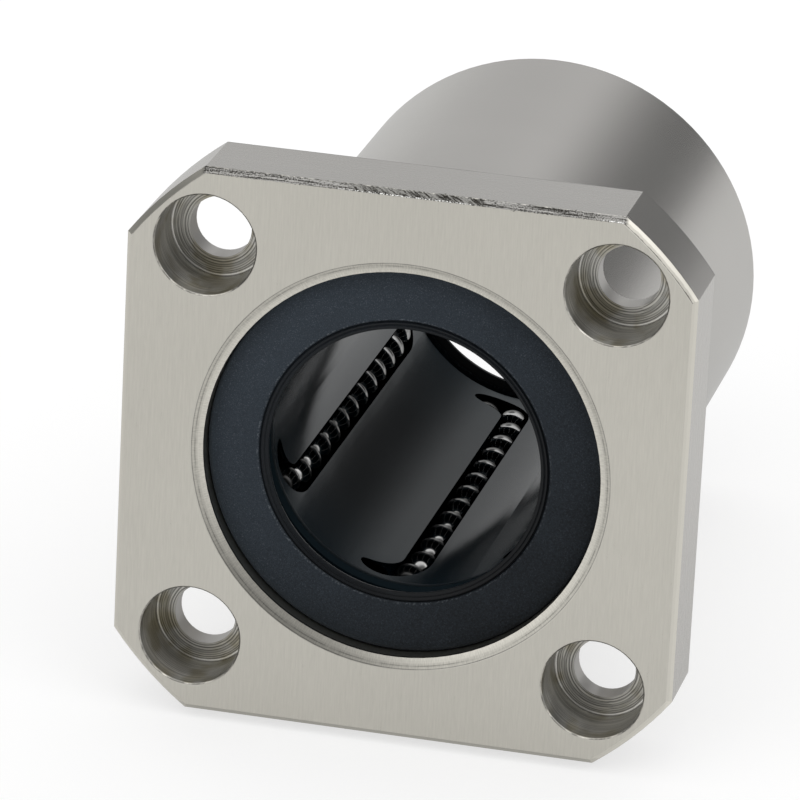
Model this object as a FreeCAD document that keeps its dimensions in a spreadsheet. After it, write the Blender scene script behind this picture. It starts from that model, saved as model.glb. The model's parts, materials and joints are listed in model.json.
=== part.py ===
import FreeCAD, Part
import os

import Sketcher

# A square-flange linear ball bearing for a 25 mm shaft, in millimetres.
# Row frame: +Y runs along the bore from the flange's front towards the sleeve's rear end, +Z is up and
# +X is to the right as the front is seen. The origin is on the bore's axis, in the plane of the flange's
# mounting face. Inside each piece, lengths along Y start at the flange's front face.

document = FreeCAD.newDocument("flanged_linear_bearing")

# Driving dimensions

SIZES = [
    ("shaft_diameter", 25.0, "shaft that slides in the bore"),
    ("bearing_length", 59.0, "front face to rear end"),
    ("ball_diameter", 3.175, "one eighth of an inch"),
    ("ball_gap", 0.325, "space between balls along a lane"),
    ("turn_balls", 3, "balls in each turn of a circuit"),
    ("circuits", 6, "ball circuits round the bore"),
    ("first_circuit_angle", 28.6, "degrees from +X towards +Z to a load lane"),
    ("return_lift", 1.2, "how much further out the return lanes lie"),
    ("raceway_clearance", 0.05, "load balls to raceway"),
    ("groove_clearance", 0.15, "return balls to sleeve"),
    ("raceway_setback", 0.5, "raceway's end, short of the load lane's end"),
    ("channel_clearance", 0.29, "balls to the retainer's channel"),
    ("retainer_bore_clearance", 0.3, "shaft to retainer"),
    ("retainer_wall_clearance", 0.1, "retainer to raceway"),
    ("retainer_end_wall", 0.9, "least wall beyond the turns"),
    ("retainer_play", 0.85, "room in front of the retainer, which lies against the rear ring"),
    ("retainer_edge_chamfer", 0.4, "retainer's bore and rim"),
    ("sleeve_wall", 4.275, "steel behind the raceway"),
    ("sleeve_end_chamfer", 0.6, "rear rim"),
    ("mouth_width", 1.0, "bevel at both ends of the bore, radially"),
    ("mouth_depth", 0.47, "the same bevel along the axis"),
    ("relief_step", 0.1, "end reliefs beyond the return grooves"),
    ("seat_step", 0.475, "seal seat beyond the ball relief"),
    ("seal_setback", 1.5, "front seal's face inside the flange's face"),
    ("rear_seal_setback", 0.6, "rear seal's face inside the rear end"),
    ("seal_thickness", 1.6, "seals along the axis"),
    ("seal_fit_clearance", 0.05, "seal to seat"),
    ("seal_edge_radius", 0.35, "seal's outer rim"),
    ("lip_flare", 0.35, "lip's entry beyond the shaft"),
    ("lip_depth", 0.6, "lip's entry along the axis"),
    ("lip_land", 0.5, "lip's cylindrical part"),
    ("lip_relief", 1.6, "lip's back beyond the shaft"),
    ("end_clearance", 0.05, "between parts along the axis"),
    ("ring_thickness", 0.8, "retaining rings"),
    ("ring_width", 3.0, "retaining rings, radially"),
    ("ring_gap_angle", 25.0, "opening of the retaining rings"),
    ("ring_groove_depth", 0.5, "ring grooves below the seal seat"),
    ("ring_groove_clearance", 0.1, "ring to groove"),
    ("flange_thickness", 8.0, "flange along the axis"),
    ("bolts", 4, "holes in the flange"),
    ("bolt_hole_diameter", 5.5, "clearance for an M5 screw"),
    ("hole_exit_chamfer", 0.5, "bolt hole's rim in the mounting face"),
    ("counterbore_diameter", 9.0, "for the screw's head"),
    ("counterbore_depth", 5.4, "for the screw's head"),
    ("counterbore_edge_break", 0.15, "counterbore's rim"),
    ("counterbore_margin", 1.0, "counterbore outside the sleeve's outline"),
    ("bolt_edge_distance", 6.969, "hole's centre to the flange's side"),
    ("bolt_corner_distance", 5.5, "hole's centre to the rounded corner"),
    ("flange_edge_chamfer", 0.5, "front outline"),
    ("flange_back_chamfer", 0.3, "back outline"),
    ("cut_overrun", 2.0, "how far cutters pass the surface"),
]

# Dimensions that follow from them

WORKED_OUT = [
    ("shaft_radius", "Sizes.shaft_diameter / 2"),
    ("ball_radius", "Sizes.ball_diameter / 2"),
    ("ball_pitch", "Sizes.ball_diameter + Sizes.ball_gap"),
    ("load_radius", "shaft_radius + ball_radius"),
    ("return_radius", "load_radius + Sizes.return_lift"),
    ("channel_radius", "ball_radius + Sizes.channel_clearance"),
    ("turn_radius", "Sizes.turn_balls * ball_pitch / pi"),
    # a circuit lies in one plane, square to Z here: its lanes' X, its middle and its height above the axis
    ("loop_x", "(return_radius ^ 2 - load_radius ^ 2) / (4 * turn_radius)"),
    ("load_x", "loop_x - turn_radius"),
    ("return_x", "loop_x + turn_radius"),
    ("loop_z", "sqrt(load_radius ^ 2 - load_x ^ 2)"),
    ("load_angle", "90 - atan(load_x / loop_z) / 1 deg"),
    ("circuit_turn", "load_angle - Sizes.first_circuit_angle"),
    ("return_angle", "90 - atan(return_x / loop_z) / 1 deg - circuit_turn"),
    ("raceway_radius", "load_radius + ball_radius + Sizes.raceway_clearance"),
    ("groove_radius", "ball_radius + Sizes.groove_clearance"),
    ("relief_radius", "return_radius + groove_radius + Sizes.relief_step"),
    ("seat_radius", "relief_radius + Sizes.seat_step"),
    ("mouth_radius", "seat_radius + Sizes.mouth_width"),
    ("ring_groove_radius", "seat_radius + Sizes.ring_groove_depth"),
    ("ring_outer_radius", "ring_groove_radius - Sizes.ring_groove_clearance"),
    ("ring_inner_radius", "ring_outer_radius - Sizes.ring_width"),
    ("sleeve_radius", "raceway_radius + Sizes.sleeve_wall"),
    ("retainer_bore_radius", "shaft_radius + Sizes.retainer_bore_clearance"),
    ("retainer_radius", "raceway_radius - Sizes.retainer_wall_clearance"),
    ("seal_radius", "seat_radius - Sizes.seal_fit_clearance"),
    ("groove_start", "Sizes.seal_setback + Sizes.seal_thickness + Sizes.end_clearance"),
    ("ring_start", "groove_start + Sizes.end_clearance"),
    ("ring_end", "ring_start + Sizes.ring_thickness"),
    ("groove_end", "ring_end + Sizes.end_clearance"),
    # what lies at the rear mirrors the front, measured back from here
    ("mirror_length", "Sizes.bearing_length + Sizes.seal_setback - Sizes.rear_seal_setback"),
    ("retainer_start", "groove_end + Sizes.end_clearance + Sizes.retainer_play"),
    ("retainer_end", "mirror_length - groove_end - Sizes.end_clearance"),
    ("turn_reach", "turn_radius + channel_radius + Sizes.retainer_end_wall"),
    ("lane_balls", "floor((retainer_end - retainer_start - 2 * turn_reach) / ball_pitch)"),
    ("lane_length", "lane_balls * ball_pitch"),
    ("lane_start", "(retainer_start + retainer_end - lane_length) / 2"),
    ("lane_end", "lane_start + lane_length"),
    ("raceway_start", "lane_start + Sizes.raceway_setback"),
    ("raceway_end", "lane_end - Sizes.raceway_setback"),
    ("bolt_circle_radius", "sleeve_radius + Sizes.counterbore_diameter / 2 + Sizes.counterbore_margin"),
    ("bolt_offset", "bolt_circle_radius / sqrt(2)"),
    ("flange_half", "bolt_offset + Sizes.bolt_edge_distance"),
    ("flange_radius", "bolt_circle_radius + Sizes.bolt_corner_distance"),
]


def make_sheet(name, rows):
    """A sheet with one aliased cell a row and the cell's name or note beside it."""
    sheet = document.addObject("Spreadsheet::Sheet", name)
    for line, (alias, content, note) in enumerate(rows, start=1):
        sheet.set(f"A{line}", note)
        sheet.set(f"B{line}", str(content))
        sheet.setAlias(f"B{line}", alias)
    document.recompute()
    return sheet


sizes = make_sheet("Sizes", SIZES)
make_sheet("Worked", [(alias, "=" + formula, alias) for alias, formula in WORKED_OUT])


def value(expression):
    """The number that an expression over the two sheets gives."""
    return float(sizes.evalExpression(expression))


# Sketches and features

def origin_feature(body, role):
    for feature in body.Origin.OriginFeatures:
        if feature.Role == role:
            return feature
    raise RuntimeError(f"{body.Label} has no {role}")


def new_body(label):
    body = document.addObject("PartDesign::Body", label)
    body.Label = label
    return body


def new_sketch(body, name, role, offset="0"):
    """A sketch on one of the body's origin planes, moved along the plane's normal by offset."""
    sketch = body.newObject("Sketcher::SketchObject", name)
    sketch.AttachmentSupport = [(origin_feature(body, role), "")]
    sketch.MapMode = "FlatFace"
    sketch.setExpression("AttachmentOffset.Base.z", offset)
    return sketch


def bind(sketch, constraint, expression):
    """Add a dimension to a sketch and tie it to an expression."""
    index = sketch.addConstraint(constraint)
    name = f"size_{index}"
    sketch.renameConstraint(index, name)
    sketch.setExpression(f"Constraints.{name}", expression)


def pin_point(sketch, curve, end, point):
    """Hold one point of a curve at two expressions, measured from the sketch's origin."""
    for kind, expression in zip(("DistanceX", "DistanceY"), point):
        bind(sketch, Sketcher.Constraint(kind, -1, 1, curve, end, value(expression)), expression)


def place(point):
    return FreeCAD.Vector(value(point[0]), value(point[1]), 0)


def draw_polygon(sketch, corners):
    """A closed outline of straight lines through corners that are pairs of expressions."""
    count = len(corners)
    for index, corner in enumerate(corners):
        sketch.addGeometry(Part.LineSegment(place(corner), place(corners[(index + 1) % count])))
    for index, corner in enumerate(corners):
        sketch.addConstraint(Sketcher.Constraint("Coincident", index, 2, (index + 1) % count, 1))
        pin_point(sketch, index, 1, corner)


def draw_circle(sketch, centre, radius):
    normal = FreeCAD.Vector(0, 0, 1)
    curve = sketch.addGeometry(Part.Circle(place(centre), normal, value(radius)))
    pin_point(sketch, curve, 3, centre)
    bind(sketch, Sketcher.Constraint("Radius", curve, value(radius)), radius)


def draw_upright_axis(sketch, across):
    """A construction line parallel to the sketch's upright axis; a groove can turn about it."""
    low, high = (across, "0"), (across, "Worked.loop_z")
    line = sketch.addGeometry(Part.LineSegment(place(low), place(high)), True)
    pin_point(sketch, line, 1, low)
    pin_point(sketch, line, 2, high)


def revolve(body, sketch, name, angle="360"):
    """Turn a profile in the XY plane about the bore's axis."""
    feature = body.newObject("PartDesign::Revolution", name)
    feature.Profile = sketch
    feature.ReferenceAxis = (sketch, ["V_Axis"])
    feature.setExpression("Angle", angle)
    document.recompute()
    return feature


def pocket_along(body, sketch, name, length):
    """Cut a sketch of the XZ plane along +Y."""
    feature = body.newObject("PartDesign::Pocket", name)
    feature.Profile = sketch
    feature.setExpression("Length", length)
    document.recompute()
    return feature


def repeat(body, features, name, count):
    """Copies of some features, evenly spaced round the bore's axis."""
    pattern = body.newObject("PartDesign::PolarPattern", name)
    pattern.Originals = features
    pattern.Axis = (origin_feature(body, "Y_Axis"), [""])
    pattern.Angle = 360
    pattern.setExpression("Occurrences", count)
    body.Tip = pattern
    document.recompute()
    return pattern


def edges_where(feature, test):
    """Names of a feature's edges that pass a test on the edge."""
    names = [f"Edge{i}" for i, edge in enumerate(feature.Shape.Edges, start=1) if test(edge)]
    if not names:
        raise RuntimeError(f"no edge of {feature.Label} passes the test")
    return names


def dress(body, kind, name, feature, edges, dimension, size):
    """A chamfer or fillet on the named edges of the last feature."""
    dressing = body.newObject(f"PartDesign::{kind}", name)
    dressing.Base = (feature, edges)
    dressing.setExpression(dimension, size)
    body.Tip = dressing
    document.recompute()
    return dressing


NEAR = 1e-4


def on_plane(edge, along):
    """Whether the whole edge lies where Y equals along."""
    box = edge.BoundBox
    return abs(box.YMin - along) < NEAR and abs(box.YMax - along) < NEAR


def beyond_axis(edge, radius):
    """Whether the edge's middle lies further from the bore's axis than radius."""
    middle = edge.valueAt((edge.FirstParameter + edge.LastParameter) / 2)
    return middle.x ** 2 + middle.z ** 2 > radius ** 2


def is_circle(edge, radius):
    """Whether the edge is a circle of that radius."""
    return isinstance(edge.Curve, Part.Circle) and abs(edge.Curve.Radius - radius) < NEAR


def stand_in_row(piece, angle="0"):
    """Turn a piece about the bore's axis and move the mounting face's plane to Y = 0."""
    piece.Placement = FreeCAD.Placement(
        FreeCAD.Vector(0, 0, 0), FreeCAD.Rotation(FreeCAD.Vector(0, 1, 0), value(angle))
    )
    piece.setExpression("Placement.Base.y", "-Sizes.flange_thickness")
    if angle != "0":
        piece.setExpression("Placement.Rotation.Angle", angle)


# Flanged sleeve: a turned blank with a stepped bore, milled flats, bolt holes and ball return grooves

def mirrored(depth):
    """The place at the rear that answers to a depth inside the front end."""
    return f"Worked.mirror_length - {depth}"


def turn_blank(body):
    """The flange and sleeve turned from round bar, with a stepped bore for the seals, rings and balls."""
    bore = [
        ("Worked.mouth_radius", "0"),
        ("Worked.seat_radius", "Sizes.mouth_depth"),
        ("Worked.seat_radius", "Worked.groove_start"),
        ("Worked.ring_groove_radius", "Worked.groove_start"),
        ("Worked.ring_groove_radius", "Worked.groove_end"),
        ("Worked.relief_radius", "Worked.groove_end"),
        ("Worked.relief_radius", "Worked.raceway_start"),
        ("Worked.raceway_radius", "Worked.raceway_start"),
        ("Worked.raceway_radius", "Worked.raceway_end"),
        ("Worked.relief_radius", "Worked.raceway_end"),
        ("Worked.relief_radius", mirrored("Worked.groove_end")),
        ("Worked.ring_groove_radius", mirrored("Worked.groove_end")),
        ("Worked.ring_groove_radius", mirrored("Worked.groove_start")),
        ("Worked.seat_radius", mirrored("Worked.groove_start")),
        ("Worked.seat_radius", "Sizes.bearing_length - Sizes.mouth_depth"),
        ("Worked.mouth_radius", "Sizes.bearing_length"),
    ]
    outside = [
        ("Worked.sleeve_radius - Sizes.sleeve_end_chamfer", "Sizes.bearing_length"),
        ("Worked.sleeve_radius", "Sizes.bearing_length - Sizes.sleeve_end_chamfer"),
        ("Worked.sleeve_radius", "Sizes.flange_thickness"),
        ("Worked.flange_radius", "Sizes.flange_thickness"),
        ("Worked.flange_radius", "0"),
    ]
    profile = new_sketch(body, "blank_profile", "XY_Plane")
    draw_polygon(profile, bore + outside)
    return revolve(body, profile, "turned_blank")


def mill_flats(body):
    """The flange's straight sides, with its front and back outlines chamfered."""
    side = new_sketch(body, "flat_outline", "XZ_Plane", "Sizes.cut_overrun")
    near = "Worked.flange_half"
    far = "Worked.flange_radius + Sizes.cut_overrun"
    draw_polygon(side, [(near, f"-({far})"), (far, f"-({far})"), (far, far), (near, far)])
    flat = pocket_along(body, side, "flat", "Sizes.flange_thickness + 2 * Sizes.cut_overrun")
    shaped = repeat(body, [flat], "flats", "Sizes.bolts")
    outside = value("Worked.sleeve_radius + Sizes.counterbore_margin / 2")
    for face, along, size in (
        ("front", "0", "Sizes.flange_edge_chamfer"),
        ("back", "Sizes.flange_thickness", "Sizes.flange_back_chamfer"),
    ):
        plane = value(along)
        outline = edges_where(
            shaped, lambda edge: on_plane(edge, plane) and beyond_axis(edge, outside)
        )
        shaped = dress(body, "Chamfer", f"{face}_outline", shaped, outline, "Size", size)
    return shaped


def drill_bolt_holes(body):
    """Counterbored holes in the flange's corners."""
    centre = new_sketch(body, "hole_centre", "XZ_Plane")
    draw_circle(centre, ("Worked.bolt_offset", "Worked.bolt_offset"), "Sizes.bolt_hole_diameter / 2")
    hole = body.newObject("PartDesign::Hole", "bolt_hole")
    hole.Profile = centre
    document.recompute()
    hole.ThreadType = "None"
    hole.DepthType = "Dimension"
    hole.DrillPoint = "Flat"
    hole.HoleCutType = "Counterbore"
    hole.HoleCutCustomValues = True
    hole.setExpression("Diameter", "Sizes.bolt_hole_diameter")
    hole.setExpression("Depth", "Sizes.flange_thickness + Sizes.cut_overrun")
    hole.setExpression("HoleCutDiameter", "Sizes.counterbore_diameter")
    hole.setExpression("HoleCutDepth", "Sizes.counterbore_depth")
    document.recompute()
    drilled = repeat(body, [hole, break_counterbore_rim(body)], "bolt_holes", "Sizes.bolts")
    plane = value("Sizes.flange_thickness")
    radius = value("Sizes.bolt_hole_diameter / 2")
    exits = edges_where(drilled, lambda edge: on_plane(edge, plane) and is_circle(edge, radius))
    return dress(body, "Chamfer", "hole_exits", drilled, exits, "Size", "Sizes.hole_exit_chamfer")


def break_counterbore_rim(body):
    """A cone cut into one counterbore's rim, which still cuts where the counterbore meets the corner's chamfer."""
    cone = body.newObject("PartDesign::SubtractiveCone", "counterbore_rim")
    cone.AttachmentSupport = [(origin_feature(body, "XZ_Plane"), "")]
    cone.MapMode = "FlatFace"
    cone.setExpression("AttachmentOffset.Base.x", "Worked.bolt_offset")
    cone.setExpression("AttachmentOffset.Base.y", "Worked.bolt_offset")
    cone.setExpression("AttachmentOffset.Base.z", "-Sizes.counterbore_edge_break")
    tall = "Sizes.counterbore_edge_break + Sizes.cut_overrun"
    cone.setExpression("Radius1", "Sizes.counterbore_diameter / 2")
    cone.setExpression("Radius2", f"Sizes.counterbore_diameter / 2 + {tall}")
    cone.setExpression("Height", tall)
    document.recompute()
    return cone


def cut_return_grooves(body):
    """Grooves through the raceway, over the return lanes, that run out into the end reliefs."""
    lane = new_sketch(body, "return_lane", "XZ_Plane", "Sizes.cut_overrun - Worked.raceway_start")
    centre = [f"Worked.return_radius * {axis}(Worked.return_angle)" for axis in ("cos", "sin")]
    draw_circle(lane, centre, "Worked.groove_radius")
    length = "Worked.raceway_end - Worked.raceway_start + 2 * Sizes.cut_overrun"
    groove = pocket_along(body, lane, "return_groove", length)
    return repeat(body, [groove], "return_grooves", "Sizes.circuits")


def make_sleeve():
    body = new_body("flanged_sleeve")
    for operation in (turn_blank, mill_flats, drill_bolt_holes, cut_return_grooves):
        operation(body)
    stand_in_row(body)
    return body


# Ball retainer: a tube with one channel a circuit, which breaks through to the bore along the load lane

def make_retainer():
    body = new_body("ball_retainer")
    chamfer = "Sizes.retainer_edge_chamfer"
    inner = "Worked.retainer_bore_radius"
    outer = "Worked.retainer_radius"
    start = "Worked.retainer_start"
    end = "Worked.retainer_end"
    profile = new_sketch(body, "tube_profile", "XY_Plane")
    draw_polygon(profile, [
        (f"{inner} + {chamfer}", start), (f"{outer} - {chamfer}", start),
        (outer, f"{start} + {chamfer}"), (outer, f"{end} - {chamfer}"),
        (f"{outer} - {chamfer}", end), (f"{inner} + {chamfer}", end),
        (inner, f"{end} - {chamfer}"), (inner, f"{start} + {chamfer}"),
    ])
    revolve(body, profile, "tube")

    section = "Worked.channel_radius"
    lanes = new_sketch(body, "lane_sections", "XZ_Plane", "-Worked.lane_start")
    for across in ("Worked.load_x", "Worked.return_x"):
        draw_circle(lanes, (across, "Worked.loop_z"), section)
    channel = [pocket_along(body, lanes, "lanes", "Worked.lane_length")]
    for side, along in (("front", "Worked.lane_start"), ("rear", "Worked.lane_end")):
        ball_way = new_sketch(body, f"{side}_turn_section", "XZ_Plane", f"-{along}")
        draw_circle(ball_way, ("Worked.load_x", "Worked.loop_z"), section)
        draw_upright_axis(ball_way, "Worked.loop_x")
        turn = body.newObject("PartDesign::Groove", f"{side}_turn")
        turn.Profile = ball_way
        turn.ReferenceAxis = (ball_way, ["Axis0"])
        turn.Angle = 180
        turn.Reversed = side == "rear"
        document.recompute()
        channel.append(turn)
    repeat(body, channel, "channels", "Sizes.circuits")
    stand_in_row(body, "Worked.circuit_turn")
    return body


# Seals: a moulded ring with a lip that wipes the shaft, the same at both ends

def make_seal(label, at_rear):
    body = new_body(label)
    shaft = "Worked.shaft_radius"
    back = "Sizes.seal_thickness"
    profile = new_sketch(body, f"{label}_profile", "XY_Plane")
    draw_polygon(profile, [
        (f"{shaft} + Sizes.lip_flare", "0"), ("Worked.seal_radius", "0"), ("Worked.seal_radius", back),
        (f"{shaft} + Sizes.lip_relief", back), (shaft, "Sizes.lip_depth + Sizes.lip_land"),
        (shaft, "Sizes.lip_depth"),
    ])
    ring = revolve(body, profile, f"{label}_ring")
    rim_radius = value("Worked.seal_radius") - NEAR
    rim = edges_where(ring, lambda edge: on_plane(edge, 0) and beyond_axis(edge, rim_radius))
    dress(body, "Fillet", f"{label}_rim", ring, rim, "Radius", "Sizes.seal_edge_radius")
    set_at_end(body, at_rear, "Sizes.seal_setback")
    return body


# Retaining rings: split rings that keep the retainer between their grooves

def make_ring(label, at_rear):
    body = new_body(label)
    profile = new_sketch(body, f"{label}_profile", "XY_Plane")
    inner = "Worked.ring_inner_radius"
    outer = "Worked.ring_outer_radius"
    thickness = "Sizes.ring_thickness"
    draw_polygon(profile, [(inner, "0"), (outer, "0"), (outer, thickness), (inner, thickness)])
    revolve(body, profile, f"{label}_band", "360 - Sizes.ring_gap_angle")
    set_at_end(body, at_rear, "Worked.ring_start")
    return body


def set_at_end(body, at_rear, depth):
    """Put a piece that starts at Y = 0 the given depth inside the front or the rear end."""
    half_turn = FreeCAD.Rotation(FreeCAD.Vector(0, 0, 1), 180 if at_rear else 0)
    body.Placement = FreeCAD.Placement(FreeCAD.Vector(0, 0, 0), half_turn)
    along = mirrored(depth) if at_rear else depth
    body.setExpression("Placement.Base.y", f"{along} - Sizes.flange_thickness")


# Balls: one circuit's balls, used again by every circuit

def make_ball(name, centre):
    ball = document.addObject("Part::Sphere", name)
    ball.setExpression("Radius", "Worked.ball_radius")
    for axis, expression in zip("xyz", centre):
        ball.setExpression(f"Placement.Base.{axis}", expression)
    return ball


def lane_of_balls(name, across):
    balls = []
    for index in range(int(value("Worked.lane_balls"))):
        along = f"Worked.lane_start + ({index} + 0.5) * Worked.ball_pitch"
        balls.append(make_ball(f"{name}_{index + 1}", (across, along, "Worked.loop_z")))
    return balls


def turn_of_balls(name, at, direction):
    """Balls round one turn, counted from the load lane; direction is -1 at the front and 1 at the rear."""
    balls = []
    for index in range(int(value("Sizes.turn_balls"))):
        angle = f"({index} + 0.5) * 180 / Sizes.turn_balls"
        across = f"Worked.loop_x - Worked.turn_radius * cos({angle})"
        along = f"{at} + {direction} * Worked.turn_radius * sin({angle})"
        balls.append(make_ball(f"{name}_{index + 1}", (across, along, "Worked.loop_z")))
    return balls


def make_circuits():
    groups = {
        "load_balls": lane_of_balls("load_ball", "Worked.load_x"),
        "return_balls": lane_of_balls("return_ball", "Worked.return_x"),
        "front_turn_balls": turn_of_balls("front_turn_ball", "Worked.lane_start", -1),
        "rear_turn_balls": turn_of_balls("rear_turn_ball", "Worked.lane_end", 1),
    }
    pieces = []
    for circuit in range(int(value("Sizes.circuits"))):
        for name, balls in groups.items():
            group = document.addObject("Part::Compound", f"{name}_{circuit + 1}")
            group.Label = f"{name}_{circuit + 1}"
            group.Links = balls
            stand_in_row(group, f"Worked.circuit_turn - {circuit} * 360 / Sizes.circuits")
            pieces.append(group)
    return pieces


# Build, test and write

pieces = [make_sleeve(), make_retainer()]
for end, at_rear in (("front", False), ("rear", True)):
    pieces.append(make_seal(f"{end}_seal", at_rear))
    pieces.append(make_ring(f"{end}_retaining_ring", at_rear))
pieces.extend(make_circuits())
document.recompute()

for item in document.Objects:
    if "Invalid" in item.State or "Error" in item.State:
        raise RuntimeError(f"{item.Label} failed: {item.State}")
for piece in pieces:
    if piece.Shape.isNull() or not piece.Shape.isValid():
        raise RuntimeError(f"{piece.Label} has no valid shape")

os.makedirs("parts", exist_ok=True)
for piece in pieces:
    piece.Shape.exportStep(f"parts/{piece.Label}.step")
    print(f"{piece.Label}: {len(piece.Shape.Solids)} solids, {piece.Shape.Volume:.2f} mm3")
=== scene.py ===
import json
import math

import bmesh
import bpy
from bpy.props import FloatProperty, FloatVectorProperty, IntProperty, PointerProperty
from mathutils import Matrix, Vector


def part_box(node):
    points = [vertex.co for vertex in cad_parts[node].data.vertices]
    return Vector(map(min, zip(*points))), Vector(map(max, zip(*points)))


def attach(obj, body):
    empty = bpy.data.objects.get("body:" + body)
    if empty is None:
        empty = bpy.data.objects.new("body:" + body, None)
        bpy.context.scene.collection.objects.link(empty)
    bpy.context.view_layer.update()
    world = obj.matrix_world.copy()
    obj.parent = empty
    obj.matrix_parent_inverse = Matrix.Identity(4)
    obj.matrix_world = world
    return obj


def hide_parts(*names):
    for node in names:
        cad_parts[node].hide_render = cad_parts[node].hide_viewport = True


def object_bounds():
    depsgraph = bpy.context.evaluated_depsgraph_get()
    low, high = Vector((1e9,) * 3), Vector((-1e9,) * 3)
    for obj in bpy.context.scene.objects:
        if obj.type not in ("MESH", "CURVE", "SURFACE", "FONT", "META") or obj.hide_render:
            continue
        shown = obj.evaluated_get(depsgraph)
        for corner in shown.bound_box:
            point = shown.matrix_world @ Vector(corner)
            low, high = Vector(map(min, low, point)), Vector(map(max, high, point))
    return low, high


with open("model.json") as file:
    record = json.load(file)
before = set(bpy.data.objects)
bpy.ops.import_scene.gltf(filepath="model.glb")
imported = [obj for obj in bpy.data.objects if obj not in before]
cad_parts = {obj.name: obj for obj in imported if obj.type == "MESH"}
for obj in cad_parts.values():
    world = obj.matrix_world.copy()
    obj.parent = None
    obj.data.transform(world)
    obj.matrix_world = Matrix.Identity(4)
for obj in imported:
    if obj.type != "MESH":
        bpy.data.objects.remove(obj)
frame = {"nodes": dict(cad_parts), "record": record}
CAD_BOX = [list(corner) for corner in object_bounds()]

bl_info = {
    "name": "Flanged linear bearing",
    "version": (1, 0, 0),
    "blender": (4, 5, 0),
    "location": "3D View > Sidebar > Bearing",
    "description": "Finishes for a square-flanged linear ball bearing and the studio it stands in",
    "category": "Object",
}

# Lengths below are in millimetres, in the part's own frame, unless a name says otherwise.
MM = 0.001
MOUNTS = {mount["name"]: mount["dims"] for mount in frame["record"]["mounts"]}
FRONT = CAD_BOX[0][1] / MM
REAR = CAD_BOX[1][1] / MM
FLANGE_HALF = CAD_BOX[1][0] / MM
SLEEVE_RADIUS = MOUNTS["sleeve_spigot"]["r_mm"]
BOLT_OFFSET = MOUNTS["flange_bolts"]["pcd_mm"] / math.sqrt(8)
BOLT_HOLE = MOUNTS["flange_bolts"]["hole_r_mm"]
COUNTERBORE = 4.5
HOLE_EXIT = 0.5
EDGE_CHAMFER = 0.5
BACK_CHAMFER = 0.3
SLEEVE_CHAMFER = 0.6
MOUTH_RADIUS = 18.6
MOUTH_DEPTH = 0.47
CORNER_RADIUS = 31.0

# Torn edge: how far it runs to each side, and its colours; the bright one is a painted glint.
TORN_HALF = 18.5
TORN_HOLLOW = (0.03, 0.028, 0.024)
TORN_GLINT = (0.95, 0.95, 0.93)
SLIVER_HOLLOW = (0.08, 0.077, 0.07)
# Slivers: clumps per metre, then least and most length, width and height as shares of the longest, and turn.
CLUMP_SCALE = 420.0
SLIVER_SHARES = ((0.15, 1.0), (0.10, 0.32), (0.05, 0.22))
SLIVER_TURNS = ((-0.5, -0.2, -0.2), (0.5, 0.2, 0.7))

# Seals: radius where the face ends and the lip begins, the lip's ridges as (radius, depth), and the depth of
# a lip that has them just so; then the steps of the mesh round the ring and round each corner.
LIP_EDGE = 12.98
LIP_RIDGES = ((12.35, 0.10), (12.42, 0.22), (12.68, 0.05), (12.78, 0.24))
LIP_DEPTH = 0.28
SEAL_STEPS = 180
ROUNDING_STEPS = 6

# Inside: depth of the cage's front rim, duller and darkened there by painted shade, and where the straight
# lanes end along the bore.
CAGE_RIM = 5.4
LANE_FRONT = 0.9
LANE_REAR = 43.9

# Floor: a hair below the part, and its half width in metres.
FLOOR_GAP = 0.02
FLOOR_HALF_M = 4.0

# The room: heights between which the overhead light comes in, then direction, inner and outer angle in
# degrees of the two side lights and of the darker places, with how dark each of these is.
OVERHEAD_FROM = 0.42
OVERHEAD_TO = 0.85
SIDE_LIGHT = ((0.715, -0.382, 0.585), 8.0, 26.0)
FILL_LIGHT = ((-0.65, -0.72, 0.15), 8.0, 45.0)
DARK_PATCHES = [
    ((0.335, 0.917, 0.18), 1.0, 24.0, 0.82),
    ((-0.2, 0.68, 0.705), 6.0, 16.0, 0.8),
    ((-0.92, -0.10, 0.375), 9.0, 22.0, 0.85),
    ((0.2, -0.917, 0.34), 12.0, 34.0, 0.7),
]

# Camera: its place in metres, the picture's right and up, and its lens, fitted to the photograph.
CAMERA_PLACE = (0.11414, -0.52064, 0.19711)
CAMERA_RIGHT = (0.97097, 0.23439, 0.04768)
CAMERA_UP = (-0.12378, 0.32183, 0.93867)
CAMERA_SENSOR = 36.0
CAMERA_LENS = 293.633
CAMERA_REACH_M = (0.01, 20.0)


class Value:
    """A number that varies over a surface. Arithmetic on it adds Math nodes."""

    def __init__(self, nodes, socket):
        self.nodes = nodes
        self.socket = socket

    def maths(self, operation, *terms):
        return self.nodes.value("ShaderNodeMath", {"operation": operation}, dict(enumerate(terms)))

    def __add__(self, other):
        return self.maths("ADD", self, other)

    def __radd__(self, other):
        return self.maths("ADD", other, self)

    def __sub__(self, other):
        return self.maths("SUBTRACT", self, other)

    def __rsub__(self, other):
        return self.maths("SUBTRACT", other, self)

    def __mul__(self, other):
        return self.maths("MULTIPLY", self, other)

    def __rmul__(self, other):
        return self.maths("MULTIPLY", other, self)

    def __pow__(self, other):
        return self.maths("POWER", self, other)

    def __abs__(self):
        return self.maths("ABSOLUTE", self)

    def rise(self, low, high):
        """0 below low, 1 above high and a smooth step between; low may be the greater, for a fall."""
        return self.nodes.value("ShaderNodeMapRange", {"interpolation_type": "SMOOTHSTEP"},
                                {"Value": self, "From Min": low, "From Max": high})


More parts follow.
